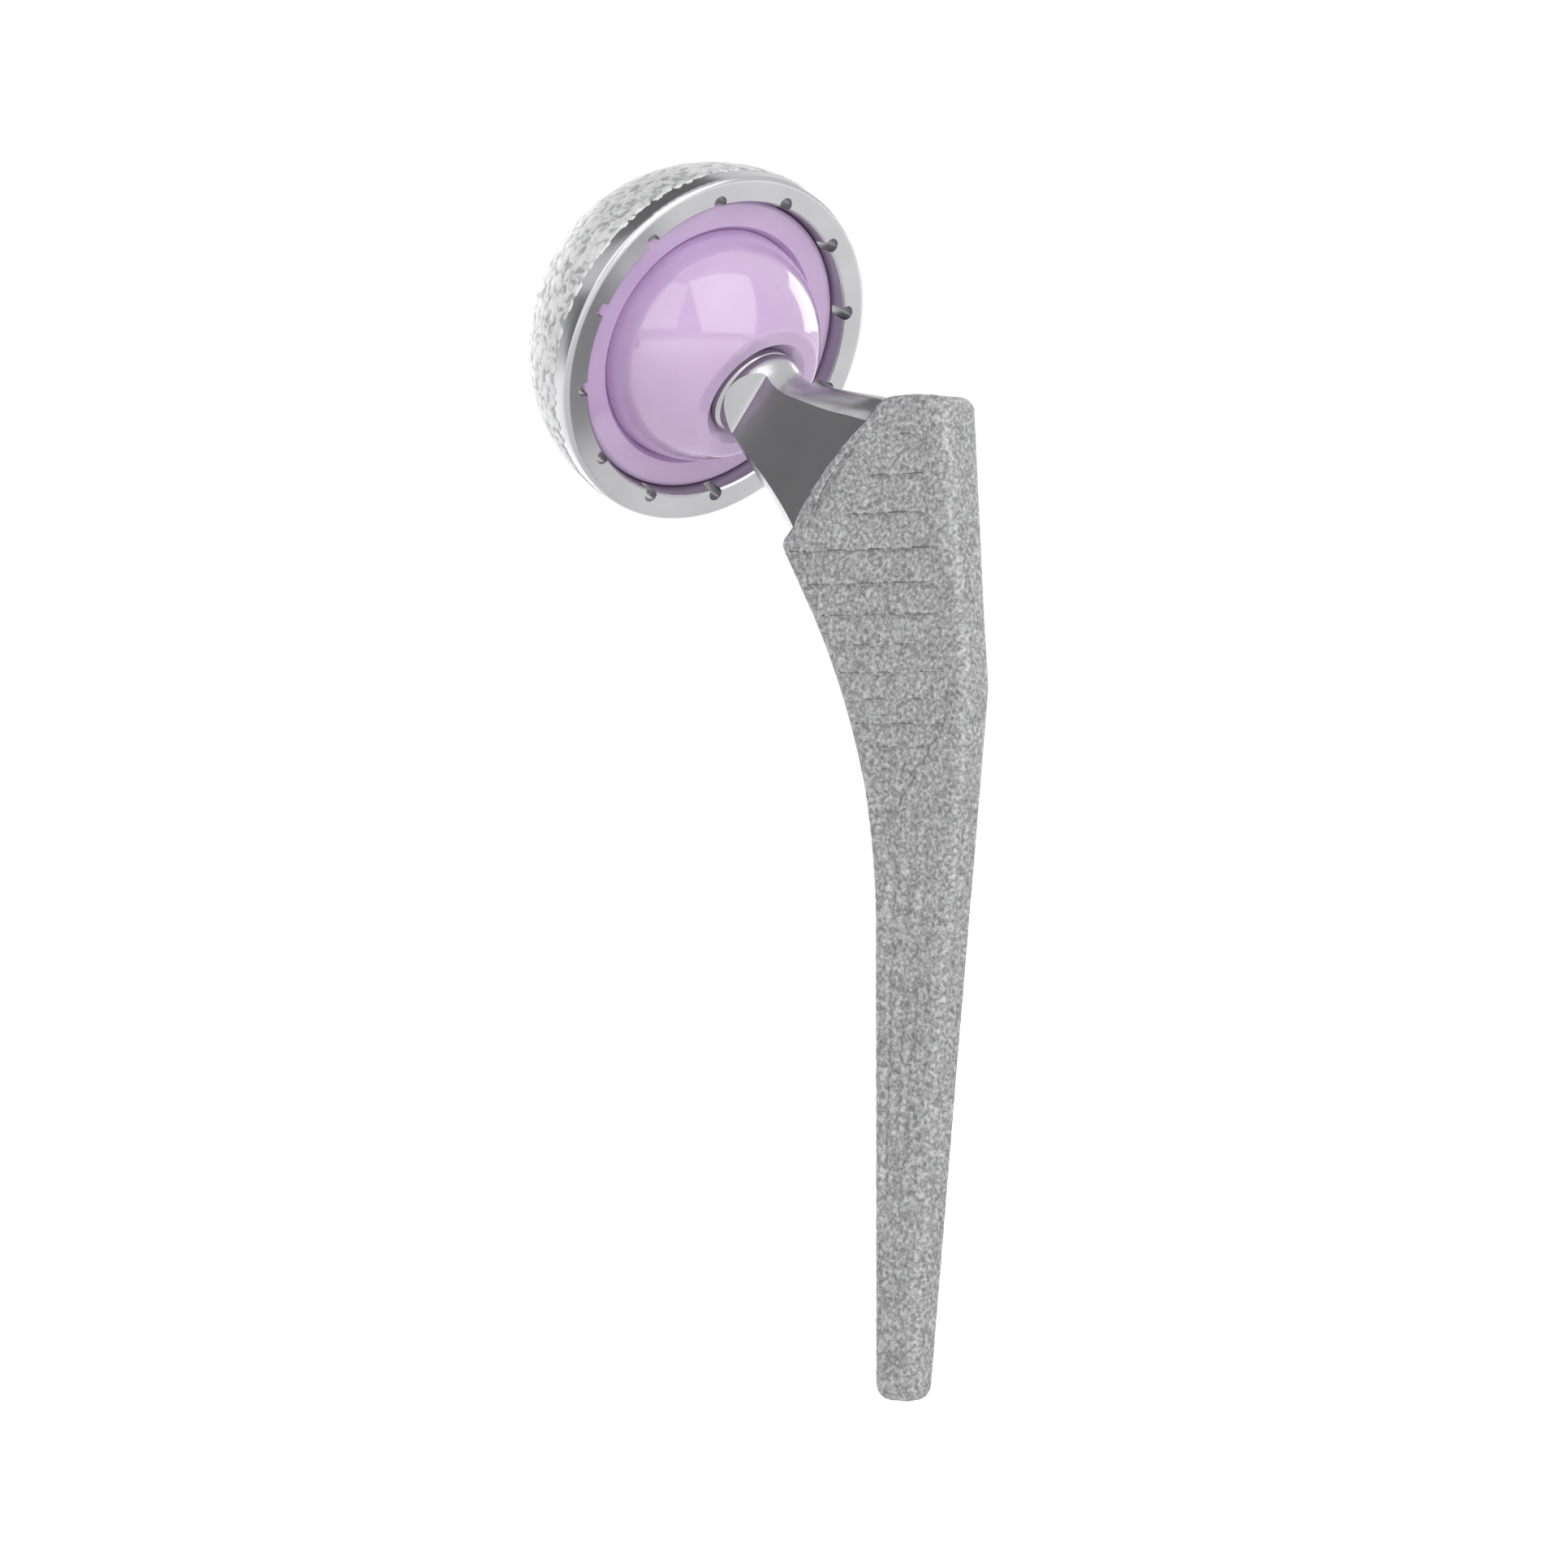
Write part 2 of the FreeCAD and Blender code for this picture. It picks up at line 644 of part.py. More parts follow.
def flat_tool(side, word):
    """One flat of the neck, with a slanted ramp at the collar that rounds into it."""
    rise = "(neck_ramp_rounding * (1 - cos(neck_ramp_angle * 1deg)))"
    run = "(neck_ramp_rounding * sin(neck_ramp_angle * 1deg))"
    top = f"({FLAT_START} - {run} - (neck_flat_reach - {rise}) / tan(neck_ramp_angle * 1deg))"
    body = doc.addObject("PartDesign::Body", f"{word}FlatTool")
    sketch = body_sketch(body, f"{word}FlatOutline", "YZ_Plane")
    sign = "-" if side < 0 else ""
    far = f"{sign}(neck_flat_half + neck_flat_reach)"
    draw_outline(sketch, [
        (f"{sign}neck_flat_half", FLAT_START, f"{sign}neck_ramp_rounding"),
        (f"{sign}(neck_flat_half + {rise})", f"{FLAT_START} - {run}", ""),
        (far, top, ""),
        (f"{far} * 2", top, ""),
        (f"{far} * 2", f"{NECK_END} * 1.5", ""),
        (f"{sign}neck_flat_half", f"{NECK_END} * 1.5", ""),
    ])
    pad = body.newObject("PartDesign::Pad", f"{word}FlatPad")
    pad.Profile = sketch
    pad.SideType = "Symmetric"
    bind(pad, Length=f"2 * {NECK_END}")
    place(body, HEAD_CENTRE, NECK_TURNS)
    return body


def taper_radius(along, clearance="0"):
    """Radius of the 12/14 taper at a distance from the centre of the head."""
    return (f"(taper_base_radius - ({TAPER_BASE} - ({along})) * tan(taper_half_angle * 1deg)"
            f" + {clearance})")


def trunnion():
    """The taper that the head sits on, with the collar at its base."""
    inside = f"({COLLAR_END} + collar_radius - neck_radius + trunnion_overlap)"
    body, _ = revolved_body("Trunnion", "trunnion", [
        ("0", TAPER_TIP, ""),
        (f"{taper_radius(TAPER_TIP)} - taper_tip_chamfer", TAPER_TIP, ""),
        (taper_radius(f"{TAPER_TIP} + taper_tip_chamfer"), f"{TAPER_TIP} + taper_tip_chamfer", ""),
        ("taper_base_radius", TAPER_BASE, ""),
        ("collar_radius", COLLAR_START, ""),
        ("collar_radius", COLLAR_END, ""),
        ("neck_radius - trunnion_overlap", inside, ""),
        ("0", inside, ""),
    ])
    place(body, HEAD_CENTRE, NECK_TURNS)
    return body


def femoral_stem():
    """The whole stem as one piece."""
    ledges = ledge_cutters()
    rest = flute_cutters() + inserter_hole()
    blade = coated_part()
    # Neighbouring ledges overlap in the air outside the blade, so every second one is cut at once.
    for word, cutters in (("Odd", ledges[0::2]), ("Even", ledges[1::2]), ("Other", rest)):
        tools = doc.addObject("Part::MultiFuse", f"{word}Cutters")
        tools.Shapes = cutters
        cut = doc.addObject("Part::Cut", f"{word}Cut")
        cut.Base = blade
        cut.Tool = tools
        blade = cut
    neck, taper, flats = neck_loft(), trunnion(), flat_cutter()
    forging = doc.addObject("Part::MultiFuse", "Forging")
    forging.Shapes = [blade, neck, taper]
    stem = doc.addObject("Part::Cut", "FemoralStem")
    stem.Base = forging
    stem.Tool = flats
    stem.Refine = True
    stem.Label = "femoral_stem"
    return stem


# Head

def femoral_head():
    """Ceramic ball with a taper bore, cut flat round its mouth."""
    edge_radius = f"sqrt(head_radius ^ 2 - {HEAD_BASE} ^ 2)"
    mouth_floor = f"({HEAD_BASE} - head_mouth_chamfer)"
    bore_end = f"({TAPER_TIP} - head_bore_spare)"
    body, turned = revolved_body("FemoralHead", "femoral_head", [
        ("0", "-head_radius", "head_radius"),
        (edge_radius, HEAD_BASE, ""),
        ("taper_base_radius + head_mouth_margin", HEAD_BASE, ""),
        (taper_radius(mouth_floor, "taper_clearance"), mouth_floor, ""),
        (taper_radius(bore_end, "taper_clearance"), bore_end, ""),
        ("0", bore_end, ""),
    ])
    round_edges(body, turned, "HeadBaseRounding", "head_base_rounding",
                ring_at(worth(edge_radius), worth(HEAD_BASE)))
    place(body, HEAD_CENTRE, NECK_TURNS)
    return body


# Liner: spherical inside, with a dome and a conical seat outside

LINER_OUTER = "(liner_centre_shift + head_radius + ball_clearance + liner_wall)"
CAVITY = f"({LINER_OUTER} + seat_clearance)"


def seat_radius(sphere, along):
    """Radius of the conical seat that is tangent to a sphere of the liner or cavity."""
    return (f"({sphere} * cos(seat_half_angle * 1deg) + (({along}) - liner_centre_shift"
            f" + {sphere} * sin(seat_half_angle * 1deg)) * tan(seat_half_angle * 1deg))")


def acetabular_liner():
    bowl = "(head_radius + ball_clearance)"
    lip = f"sqrt({bowl} ^ 2 - liner_contact ^ 2)"
    body, turned = revolved_body("AcetabularLiner", "acetabular_liner", [
        ("0", f"-{bowl}", bowl),
        (lip, "liner_contact", ""),
        (f"{lip} + liner_lead_in", "liner_rim", ""),
        (seat_radius(LINER_OUTER, "liner_rim"), "liner_rim", ""),
        (f"{LINER_OUTER} * cos(seat_half_angle * 1deg)",
         f"liner_centre_shift - {LINER_OUTER} * sin(seat_half_angle * 1deg)", f"-{LINER_OUTER}"),
        ("0", f"liner_centre_shift - {LINER_OUTER}", ""),
    ])
    round_edges(body, turned, "LinerRimRounding", "liner_rim_rounding",
                ring_at(worth(seat_radius(LINER_OUTER, "liner_rim")), size("liner_rim")))
    place(body, HEAD_CENTRE, CUP_TURNS)
    return body


# Shell: hemispherical outside, with twelve notches round the bore and an apex hole

APEX_Z = f"(liner_centre_shift - {CAVITY})"
SHELL_RADIUS = f"({CAVITY} + shell_wall)"
NOTCH_RING = f"({seat_radius(CAVITY, 'shell_face')} + notch_offset)"
POLE_WALL = f"({APEX_Z} + {SHELL_RADIUS} - shell_dome_shift)"


def acetabular_shell():
    body, turned = revolved_body("AcetabularShell", "acetabular_shell", [
        ("0", APEX_Z, CAVITY),
        (f"{CAVITY} * cos(seat_half_angle * 1deg)",
         f"liner_centre_shift - {CAVITY} * sin(seat_half_angle * 1deg)", ""),
        (seat_radius(CAVITY, "shell_face - shell_bore_chamfer"),
         "shell_face - shell_bore_chamfer", ""),
        (f"{seat_radius(CAVITY, 'shell_face')} + shell_bore_chamfer", "shell_face", ""),
        (SHELL_RADIUS, "shell_face", ""),
        (SHELL_RADIUS, "shell_dome_shift", f"-{SHELL_RADIUS}"),
        ("0", f"shell_dome_shift - {SHELL_RADIUS}", ""),
    ])
    rim = round_edges(body, turned, "ShellRimRounding", "shell_rim_rounding",
                      ring_at(worth(SHELL_RADIUS), size("shell_face")))

    notch_sketch = body_sketch(body, "NotchSketch", "XY_Plane", "shell_face")
    notch_sketch.addGeometry(Part.Circle(Vector(worth(NOTCH_RING), 0, 0),
                                         Vector(0, 0, 1), size("notch_radius")))
    angle = "notch_first_angle * 1deg"
    for kind, text in (("DistanceX", f"{NOTCH_RING} * cos({angle})"),
                       ("DistanceY", f"{NOTCH_RING} * sin({angle})")):
        index = notch_sketch.addConstraint(Sketcher.Constraint(kind, -1, 1, 0, 3, worth(text)))
        notch_sketch.setExpression(f"Constraints[{index}]", named(text))
    index = notch_sketch.addConstraint(Sketcher.Constraint("Radius", 0, size("notch_radius")))
    notch_sketch.setExpression(f"Constraints[{index}]", named("notch_radius"))
    notch = body.newObject("PartDesign::Pocket", "Notch")
    notch.Profile = notch_sketch
    bind(notch, Length="notch_depth")
    doc.recompute()
    notches = body.newObject("PartDesign::PolarPattern", "Notches")
    notches.Originals = [notch]
    notches.Axis = (notch_sketch, ["N_Axis"])
    notches.Angle = 360
    bind(notches, Occurrences="notch_count")
    body.Tip = notches
    doc.recompute()

    hole_sketch = body_sketch(body, "ApexHoleSketch", "XY_Plane",
                              f"shell_dome_shift - {SHELL_RADIUS}")
    hole_sketch.addGeometry(Part.Circle(Vector(0, 0, 0), Vector(0, 0, 1), size("apex_hole_radius")))
    hole_sketch.addConstraint(Sketcher.Constraint("Coincident", 0, 3, -1, 1))
    index = hole_sketch.addConstraint(Sketcher.Constraint("Radius", 0, size("apex_hole_radius")))
    hole_sketch.setExpression(f"Constraints[{index}]", named("apex_hole_radius"))
    hole = body.newObject("PartDesign::Pocket", "ApexHole")
    hole.Profile = hole_sketch
    hole.Reversed = True
    bind(hole, Length=f"{POLE_WALL} + notch_depth")
    body.Tip = hole
    doc.recompute()
    place(body, HEAD_CENTRE, CUP_TURNS)
    return body


def apex_plug():
    """Screw plug that closes the apex hole, with a hexagon socket facing the liner."""
    top = f"({APEX_Z} - plug_recess)"
    foot = f"({top} - ({POLE_WALL} - plug_recess - plug_outer_recess))"
    radius = "(apex_hole_radius - plug_clearance)"
    body, turned = revolved_body("ApexPlug", "apex_hole_plug", [
        ("0", foot, ""),
        (f"{radius} - plug_slot_chamfer", foot, ""),
        (radius, f"{foot} + plug_slot_chamfer", ""),
        (radius, top, ""),
        ("0", top, ""),
    ])
    sketch = body_sketch(body, "PlugSocketSketch", "XY_Plane", top)
    corners = [(f"plug_socket_radius * cos({60 * i}deg)", f"plug_socket_radius * sin({60 * i}deg)", "")
               for i in range(6)]
    draw_outline(sketch, corners)
    socket = body.newObject("PartDesign::Pocket", "PlugSocket")
    socket.Profile = sketch
    bind(socket, Length="plug_socket_depth")
    doc.recompute()
    place(body, HEAD_CENTRE, CUP_TURNS)
    return body


pieces = [femoral_stem(), femoral_head(), acetabular_liner(), acetabular_shell(), apex_plug()]
doc.recompute()

for thing in doc.Objects:
    if "Invalid" in thing.State or "Error" in thing.State:
        raise RuntimeError(f"{thing.Name} didn't build: {thing.State}")

os.makedirs("parts", exist_ok=True)
for piece in pieces:
    shape = piece.Shape
    if shape.isNull() or not shape.isValid() or not shape.Solids:
        raise RuntimeError(f"{piece.Label} has no valid solid")
    print(piece.Label, len(shape.Solids), "solid", round(shape.Volume, 1), "mm3", shape.BoundBox)
    shape.exportStep(f"parts/{piece.Label}.step")
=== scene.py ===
import json
import math

import bmesh
import bpy
from mathutils import Matrix, Vector


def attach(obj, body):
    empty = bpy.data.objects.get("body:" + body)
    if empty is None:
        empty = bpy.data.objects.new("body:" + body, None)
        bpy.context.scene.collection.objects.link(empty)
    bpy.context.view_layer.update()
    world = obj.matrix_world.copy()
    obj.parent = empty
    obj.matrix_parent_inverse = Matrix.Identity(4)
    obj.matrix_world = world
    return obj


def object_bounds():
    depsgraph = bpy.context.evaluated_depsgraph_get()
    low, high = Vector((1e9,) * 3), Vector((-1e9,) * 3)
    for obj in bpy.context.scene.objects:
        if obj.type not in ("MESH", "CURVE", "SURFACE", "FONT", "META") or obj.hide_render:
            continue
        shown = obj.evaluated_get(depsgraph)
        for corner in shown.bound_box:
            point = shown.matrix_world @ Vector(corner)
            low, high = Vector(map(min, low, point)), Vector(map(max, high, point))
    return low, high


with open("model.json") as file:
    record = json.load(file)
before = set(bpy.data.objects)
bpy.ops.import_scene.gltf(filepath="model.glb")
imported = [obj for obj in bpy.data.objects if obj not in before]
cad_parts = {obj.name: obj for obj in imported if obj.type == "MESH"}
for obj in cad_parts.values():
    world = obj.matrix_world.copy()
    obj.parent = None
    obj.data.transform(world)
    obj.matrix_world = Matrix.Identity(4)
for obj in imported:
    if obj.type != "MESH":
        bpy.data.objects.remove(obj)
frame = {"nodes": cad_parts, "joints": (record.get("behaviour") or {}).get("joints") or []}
cad_low, cad_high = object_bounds()

MM = 0.001

# Frame: the centre of the ball, where the neck and the cup meet, and the axes of both.
joints = {joint["name"]: joint for joint in frame["joints"]}
BALL_CENTRE = Vector(joints["head_turn"]["pos_m"])
CUP_AXIS = Vector(joints["cup_spin"]["axis"]).normalized()

# Camera of the photograph: a long lens, level, 39 degrees round from the front of the stem.
IMAGE_SIDE = 1932
FOCAL_LENGTH_PX = 6200.0
SENSOR_WIDTH_MM = 36.0
CAMERA_AZIMUTH = math.radians(39.0)
CAMERA_LEVEL = math.radians(90.0)
CAMERA_DISTANCE = 744.2 * MM
CAMERA_NEAR, CAMERA_FAR = 0.05, 20.0
AIM_POINT = Vector((-33.88, 7.93, -31.10)) * MM

# The coat line: coating ends on a plane through these two points, across the stem.
COAT_LINE_TOP = Vector((-5.9, 0.0, 24.0)) * MM
COAT_LINE_LOW = Vector((-24.747, 0.0, 3.1)) * MM
COAT_LINE_INSET = 0.05 * MM


# Small helpers

def linear(hex_colour):
    """The linear colour of an sRGB hex value."""
    channels = [int(hex_colour[i:i + 2], 16) / 255 for i in (1, 3, 5)]
    return [c / 12.92 if c <= 0.04045 else ((c + 0.055) / 1.055) ** 2.4 for c in channels] + [1.0]


def add_node(tree, kind, settings=None, stops=(), **inputs):
    """A node with its settings, its colour stops (position, hex) if it is a ramp, and its inputs.

    An input is a value or another node's socket. It is named by the socket's label, with _ for
    a space, or by n and its number where labels repeat.
    """
    node = tree.nodes.new(kind)
    for name, value in (settings or {}).items():
        setattr(node, name, value)
    if stops:
        elements = node.color_ramp.elements
        while len(elements) < len(stops):
            elements.new(0.5)
        for element, (position, colour) in zip(elements, stops):
            element.position = position
            element.color = linear(colour)
    for key, value in inputs.items():
        by_number = key[0] == "n" and key[1:].isdigit()
        socket = node.inputs[int(key[1:]) if by_number else key.replace("_", " ")]
        if isinstance(value, bpy.types.NodeSocket):
            tree.links.new(value, socket)
        else:
            socket.default_value = value
    return node


def per_metre(size_mm):
    """Scale of a noise whose grains are this many millimetres across."""
    return 1.0 / (size_mm * MM)


def new_material(name):
    """A material with an empty node tree, and that tree."""
    material = bpy.data.materials.new(name)
    material.use_nodes = True
    material.node_tree.nodes.clear()
    return material, material.node_tree


def link_object(name, data):
    """An object of this data, in the scene's own collection."""
    piece = bpy.data.objects.new(name, data)
    bpy.context.scene.collection.objects.link(piece)
    return piece


def mesh_object(name, mesh):
    """An object of a bmesh, which is freed."""
    data = bpy.data.meshes.new(name)
    mesh.to_mesh(data)
    mesh.free()
    return link_object(name, data)


# Materials. The real grains are finer than these: splats and beads are 0.1 to 0.3 mm across,
# the satin finish and the ceramic's crystals far less. They are drawn as coarse as they need
# to show.

SPRAY_GRAIN_MM = 0.62
SPRAY_FINE_MM = 0.3
SPRAY_NOISE = {"Detail": 3.0, "Roughness": 0.62, "Distortion": 0.3}
POROUS_GRAIN_MM = 1.4
POROUS_FINE_MM = 0.5
POROUS_NOISE = {"Detail": 2.0, "Roughness": 0.5, "Distortion": 0.6}
SATIN_GRAIN_MM = 0.25
SATIN_CLOUD_MM = 9.0
CERAMIC_SPECK_MM = 0.35
CERAMIC_CLOUD_MM = 7.0
NOISE_LOW, NOISE_HIGH = 0.3, 0.7  # nearly all of a noise's values lie between these


def sprayed_titanium():
    """Plasma-sprayed titanium on the blade: rough, dull splats in the spray's own mottled grey,
    with painted shade in the pits of the relief and painted light on its crests.
    """
    material, tree = new_material("plasma_sprayed_titanium")
    coords = add_node(tree, "ShaderNodeTexCoord")
    splats_and_pit_shade = add_node(tree, "ShaderNodeTexNoise", Vector=coords.outputs["Object"],
                      Scale=per_metre(SPRAY_GRAIN_MM), **SPRAY_NOISE)
    fine = add_node(tree, "ShaderNodeTexNoise", Vector=coords.outputs["Object"],
                    Scale=per_metre(SPRAY_FINE_MM), Detail=2.0, Roughness=0.6)
    # The colour follows the same noise as the relief: the dark stops are painted shade in its pits
    # and the pale stops painted light on its crests, over the spray's own mottled tone.
    colour = add_node(tree, "ShaderNodeValToRGB", Fac=splats_and_pit_shade.outputs["Fac"],
                      stops=((0.34, "#828283"), (0.5, "#A9A9AA"), (0.66, "#D0D0D1")))
    dull = add_node(tree, "ShaderNodeMapRange", Value=fine.outputs["Fac"],
                    From_Min=NOISE_LOW, From_Max=NOISE_HIGH, To_Min=0.55, To_Max=0.75)
    grit = add_node(tree, "ShaderNodeBump", Height=fine.outputs["Fac"],
                    Strength=0.3, Distance=0.06 * MM)
    shader = add_node(tree, "ShaderNodeBsdfPrincipled", Base_Color=colour.outputs["Color"],
                      Metallic=0.35, Roughness=dull.outputs["Result"],
                      Normal=grit.outputs["Normal"])
    add_node(tree, "ShaderNodeOutputMaterial", Surface=shader.outputs[0])
    return material


def porous_titanium():
    """Porous titanium on the dome: pale flattened beads, paler than the blade partly as painted
    light, with painted shade in the gaps between them.
    """
    material, tree = new_material("porous_titanium")
    coords = add_node(tree, "ShaderNodeTexCoord")
    beads_and_gap_shade = add_node(tree, "ShaderNodeTexNoise", Vector=coords.outputs["Object"],
                     Scale=per_metre(POROUS_GRAIN_MM), **POROUS_NOISE)
    fine = add_node(tree, "ShaderNodeTexNoise", Vector=coords.outputs["Object"],
                    Scale=per_metre(POROUS_FINE_MM), Detail=2.0, Roughness=0.5)
    # The colour follows the same noise as the relief: the dark stops are painted shade in the gaps
    # between beads, and the pale stops are the beads' own tone, made paler than the blade's spray
    # partly as painted light.
    colour = add_node(tree, "ShaderNodeValToRGB", Fac=beads_and_gap_shade.outputs["Fac"],
                      stops=((0.36, "#ACACAD"), (0.47, "#D8D8D9"), (0.6, "#E9E9E9")))
    grit = add_node(tree, "ShaderNodeBump", Height=fine.outputs["Fac"],
                    Strength=0.3, Distance=0.1 * MM)
    shader = add_node(tree, "ShaderNodeBsdfPrincipled", Base_Color=colour.outputs["Color"],
                      Metallic=0.3, Roughness=0.55, Normal=grit.outputs["Normal"])
    add_node(tree, "ShaderNodeOutputMaterial", Surface=shader.outputs[0])
    return material


def satin_titanium():
    """Machined and tumbled titanium alloy: grey, evenly satin, with a faint grain."""
    material, tree = new_material("satin_titanium_alloy")
    coords = add_node(tree, "ShaderNodeTexCoord")
    grain = add_node(tree, "ShaderNodeTexNoise", Vector=coords.outputs["Object"],
                     Scale=per_metre(SATIN_GRAIN_MM), Detail=2.0, Roughness=0.6)
    cloud = add_node(tree, "ShaderNodeTexNoise", Vector=coords.outputs["Object"],
                     Scale=per_metre(SATIN_CLOUD_MM), Detail=2.0, Roughness=0.5)
    colour = add_node(tree, "ShaderNodeValToRGB", Fac=cloud.outputs["Fac"],
                      stops=((0.3, "#B4B4B6"), (0.7, "#BCBCBE")))
    dull = add_node(tree, "ShaderNodeMapRange", Value=grain.outputs["Fac"],
                    From_Min=NOISE_LOW, From_Max=NOISE_HIGH, To_Min=0.2, To_Max=0.25)
    grit = add_node(tree, "ShaderNodeBump", Height=grain.outputs["Fac"],
                    Strength=0.04, Distance=0.01 * MM)
    shader = add_node(tree, "ShaderNodeBsdfPrincipled", Base_Color=colour.outputs["Color"],
                      Metallic=1.0, Roughness=dull.outputs["Result"],
                      Normal=grit.outputs["Normal"])
    add_node(tree, "ShaderNodeOutputMaterial", Surface=shader.outputs[0])
    return material


def lilac_ceramic():
    """Zirconia-toughened alumina, ground and polished: dense, lilac, with a hard clear gloss."""
    material, tree = new_material("zirconia_toughened_alumina")
    coords = add_node(tree, "ShaderNodeTexCoord")
    cloud = add_node(tree, "ShaderNodeTexNoise", Vector=coords.outputs["Object"],
                     Scale=per_metre(CERAMIC_CLOUD_MM), Detail=3.0, Roughness=0.5)
    speck = add_node(tree, "ShaderNodeTexNoise", Vector=coords.outputs["Object"],
                     Scale=per_metre(CERAMIC_SPECK_MM), Detail=1.0, Roughness=0.5)
    colour = add_node(tree, "ShaderNodeValToRGB", Fac=cloud.outputs["Fac"],
                      stops=((0.3, "#CFB2DA"), (0.7, "#D5BAE0")))
    dull = add_node(tree, "ShaderNodeMapRange", Value=speck.outputs["Fac"],
                    From_Min=NOISE_LOW, From_Max=NOISE_HIGH, To_Min=0.07, To_Max=0.11)
    shader = add_node(tree, "ShaderNodeBsdfPrincipled", Base_Color=colour.outputs["Color"],
                      Roughness=dull.outputs["Result"], IOR=1.77, Subsurface_Weight=0.25,
                      Subsurface_Radius=(0.9, 0.5, 1.0), Subsurface_Scale=1.5 * MM)
    add_node(tree, "ShaderNodeOutputMaterial", Surface=shader.outputs[0])
    return material


# Rough coatings: a skin over the solid, displaced along its normals by the grain of the spray

SPRAY_LIFT = 0.10 * MM
SPRAY_RELIEF = 0.13 * MM
POROUS_LIFT = 0.12 * MM
POROUS_RELIEF = 0.2 * MM
COAT_EDGE = 2.3 * MM  # where the dome's coating ends, from the ball's centre towards the rim
COAT_FRINGE = 0.8 * MM
COAT_SINK = -0.45 * MM
# At the edge, a grain is sunk below the first of these values and whole above the second.
FRINGE_SUNK, FRINGE_WHOLE = 0.35, 0.6


def relief_tree(name, grain_mm, noise_inputs, fringe=False):
    """A Geometry Nodes tree that lifts a mesh along its normals by a noise of one grain size.

    With a fringe, the grains near the edge sink into the solid one by one, so the edge is ragged.
    """
    tree = bpy.data.node_groups.new(name, "GeometryNodeTree")
    face = tree.interface
    face.new_socket("Mesh", in_out="INPUT", socket_type="NodeSocketGeometry")
    sizes = [("Lift", SPRAY_LIFT), ("Relief", SPRAY_RELIEF), ("Grain", grain_mm * MM)]
    if fringe:
        sizes += [("Edge", COAT_EDGE), ("Fringe", COAT_FRINGE), ("Sink", COAT_SINK)]
        for label, value in (("Centre", BALL_CENTRE), ("Axis", CUP_AXIS)):
            socket = face.new_socket(label, in_out="INPUT", socket_type="NodeSocketVector")
            socket.default_value = value
    for label, value in sizes:
        socket = face.new_socket(label, in_out="INPUT", socket_type="NodeSocketFloat")
        socket.default_value = value
    face.new_socket("Finish", in_out="INPUT", socket_type="NodeSocketMaterial")
    face.new_socket("Mesh", in_out="OUTPUT", socket_type="NodeSocketGeometry")
    given = add_node(tree, "NodeGroupInput")
    scale = add_node(tree, "ShaderNodeMath", {"operation": "DIVIDE"},
                     n0=1.0, n1=given.outputs["Grain"])
    place = add_node(tree, "GeometryNodeInputPosition")
    noise = add_node(tree, "ShaderNodeTexNoise", Vector=place.outputs[0],
                     Scale=scale.outputs[0], **noise_inputs)
    centred = add_node(tree, "ShaderNodeMapRange", Value=noise.outputs["Fac"],
                       From_Min=NOISE_LOW, From_Max=NOISE_HIGH, To_Min=-0.5, To_Max=0.5)
    height = add_node(tree, "ShaderNodeMath", {"operation": "MULTIPLY_ADD"},
                      n0=centred.outputs["Result"], n1=given.outputs["Relief"],
                      n2=given.outputs["Lift"])
    if fringe:
        arm = add_node(tree, "ShaderNodeVectorMath", {"operation": "SUBTRACT"},
                       n0=place.outputs[0], n1=given.outputs["Centre"])
        along = add_node(tree, "ShaderNodeVectorMath", {"operation": "DOT_PRODUCT"},
                         n0=arm.outputs[0], n1=given.outputs["Axis"])
        short = add_node(tree, "ShaderNodeMath", {"operation": "SUBTRACT"},
                         n0=given.outputs["Edge"], n1=along.outputs["Value"])
        share = add_node(tree, "ShaderNodeMath", {"operation": "DIVIDE"},
                         n0=short.outputs[0], n1=given.outputs["Fringe"])
        held = add_node(tree, "ShaderNodeMath", {"operation": "ADD"},
                        n0=share.outputs[0], n1=centred.outputs["Result"])
        sunk = add_node(tree, "ShaderNodeMapRange", Value=held.outputs[0],
                        From_Min=FRINGE_SUNK, From_Max=FRINGE_WHOLE, To_Min=1.0, To_Max=0.0)
        height = add_node(tree, "ShaderNodeMath", {"operation": "MULTIPLY_ADD"},
                          n0=sunk.outputs["Result"], n1=given.outputs["Sink"],
                          n2=height.outputs[0])
    normal = add_node(tree, "GeometryNodeInputNormal")
    offset = add_node(tree, "ShaderNodeVectorMath", {"operation": "SCALE"},
                      n0=normal.outputs[0], Scale=height.outputs[0])
    moved = add_node(tree, "GeometryNodeSetPosition", Geometry=given.outputs["Mesh"],
                     Offset=offset.outputs[0])
    smooth = add_node(tree, "GeometryNodeSetShadeSmooth", Geometry=moved.outputs[0])
    whole = add_node(tree, "GeometryNodeRealizeInstances", Geometry=smooth.outputs[0])
    finished = add_node(tree, "GeometryNodeSetMaterial", Geometry=whole.outputs[0],
                        Material=given.outputs["Finish"])
    add_node(tree, "NodeGroupOutput", Mesh=finished.outputs[0])
    return tree


def add_relief(piece, tree, **values):
    """Puts the relief on a piece, with these values for the tree's named inputs."""
    modifier = piece.modifiers.new("relief", "NODES")
    modifier.node_group = tree
    for item in tree.interface.items_tree:
        if item.item_type == "SOCKET" and item.in_out == "INPUT" and item.name in values:
            modifier[item.identifier] = values[item.name]


def frozen(piece, name):
    """A plain mesh object of a piece with its modifiers applied; the piece itself is removed."""
    graph = bpy.context.evaluated_depsgraph_get()
    mesh = bpy.data.meshes.new_from_object(piece.evaluated_get(graph))
    bpy.data.objects.remove(piece)
    mesh.name = name
    return link_object(name, mesh)


SKIN_VOXEL = 0.3 * MM
MERGE_DISTANCE = 0.001 * MM
CUT_TOLERANCE = 0.0001 * MM


